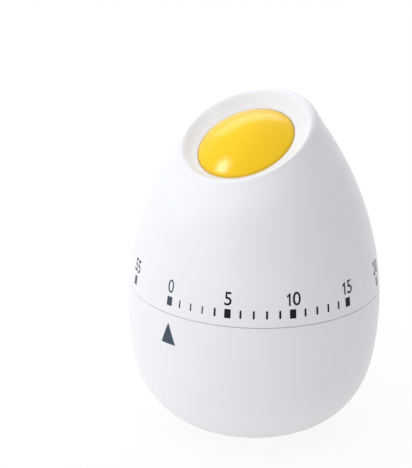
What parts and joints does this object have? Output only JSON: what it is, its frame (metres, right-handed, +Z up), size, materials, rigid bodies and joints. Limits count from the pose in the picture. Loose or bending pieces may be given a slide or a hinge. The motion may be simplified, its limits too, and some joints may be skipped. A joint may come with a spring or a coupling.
{
  "type": "kitchen timer",
  "caption": "Egg-shaped wind-up kitchen timer: the upper shell with a slanted top and yolk dome turns as the dial over a clockwork and bell.",
  "frame": {"origin": "centre of the flat base", "axes": "+Z up along the dial axis; -Y is the front, with the pointer, the dial zero and the low side of the slanted top"},
  "size_m": [0.06, 0.06, 0.0805],
  "materials": {
    "white_shell": "satin gloss",
    "yolk": "high gloss, slightly translucent",
    "dark_print": "pad printed ink",
    "inner_plastic": "moulded, matt",
    "zinc_screw": "zinc plated",
    "bell_steel": "nickel plated",
    "plate": "stamped, zinc plated",
    "pillar_steel": "turned",
    "arbor_steel": "ground",
    "spring_steel": "tempered, blue-grey",
    "brass_wheel": "stamped"
  },
  "bodies": {
    "base": {"lower_shell": "white_shell", "bell": "bell_steel", "bell_screw": "zinc_screw", "bottom_plate": "plate", "top_plate": "plate", "pillars": "pillar_steel", "pillar_screws": "zinc_screw", "movement_screws": "zinc_screw", "stop_pin": "arbor_steel", "mainspring": "spring_steel", "spring_post": "arbor_steel", "hairspring": "spring_steel", "hair_stud": "brass_wheel", "hammer_spring": "spring_steel"},
    "dial": {"upper_shell": "white_shell", "yolk_dome": "yolk", "drive_carrier": "inner_plastic", "carrier_screws": "zinc_screw", "main_arbor": "arbor_steel", "arbor_clip": "spring_steel", "friction_washer": "spring_steel", "great_wheel": "brass_wheel", "ratchet_wheel": "arbor_steel", "click_stud": "brass_wheel", "click_spring": "spring_steel", "release_cam": "inner_plastic", "stop_finger": "arbor_steel"},
    "click": {"click": "arbor_steel"},
    "second": {"second_pinion": "arbor_steel", "second_wheel": "brass_wheel"},
    "third": {"third_pinion": "arbor_steel", "third_wheel": "brass_wheel"},
    "escape": {"escape_pinion": "arbor_steel", "escape_wheel": "brass_wheel"},
    "pallet": {"pallet_lever": "brass_wheel", "pallet_pins": "arbor_steel", "pallet_arbor": "arbor_steel"},
    "balance": {"balance_wheel": "brass_wheel", "balance_staff": "arbor_steel", "roller": "brass_wheel"},
    "hammer": {"hammer": "arbor_steel", "cam_lever": "arbor_steel", "hammer_arbor": "arbor_steel"}
  },
  "joints": [
    {"name": "dial_turn", "type": "hinge", "parent": "base", "child": "dial", "pos_m": [0, 0, 0.035], "axis": [0, 0, -1], "range_deg": [0, 354], "deforming": ["mainspring"]},
    {"name": "click_lift", "type": "hinge", "parent": "dial", "child": "click", "pos_m": [0.006, -0.0053, 0.0205], "axis": [0, 0, 1], "range_deg": [0, 8], "stiffness_Nm_per_rad": 0.0001, "deforming": ["click_spring"]},
    {"name": "second_spin", "type": "hinge", "parent": "base", "child": "second", "pos_m": [0.0144, 0, 0.0226], "axis": [0, 0, -1], "continuous": true},
    {"name": "third_spin", "type": "hinge", "parent": "base", "child": "third", "pos_m": [0.01248, 0.01002, 0.0248], "axis": [0, 0, -1], "continuous": true},
    {"name": "escape_spin", "type": "hinge", "parent": "base", "child": "escape", "pos_m": [0.00621, 0.01529, 0.0217], "axis": [0, 0, -1], "continuous": true},
    {"name": "balance_swing", "type": "hinge", "parent": "base", "child": "balance", "pos_m": [-0.00719, 0.01317, 0.0251], "axis": [0, 0, 1], "range_deg": [-28, 28], "stiffness_Nm_per_rad": 0.000003, "deforming": ["hairspring"]},
    {"name": "pallet_rock", "type": "hinge", "parent": "base", "child": "pallet", "pos_m": [-0.00017, 0.017, 0.0229], "axis": [0, 0, 1], "range_deg": [-9, 9]},
    {"name": "hammer_swing", "type": "hinge", "parent": "base", "child": "hammer", "pos_m": [-0.01196, -0.00837, 0.014], "axis": [0, 0, 1], "range_deg": [0, 7], "stiffness_Nm_per_rad": 0.0002, "deforming": ["hammer_spring"]}
  ],
  "couplings": [
    {"joint": "second_spin", "follows": "dial_turn", "ratio": -9},
    {"joint": "third_spin", "follows": "dial_turn", "ratio": 67.5},
    {"joint": "escape_spin", "follows": "dial_turn", "ratio": -540},
    {"joint": "pallet_rock", "follows": "balance_swing", "ratio": -0.306}
  ]
}
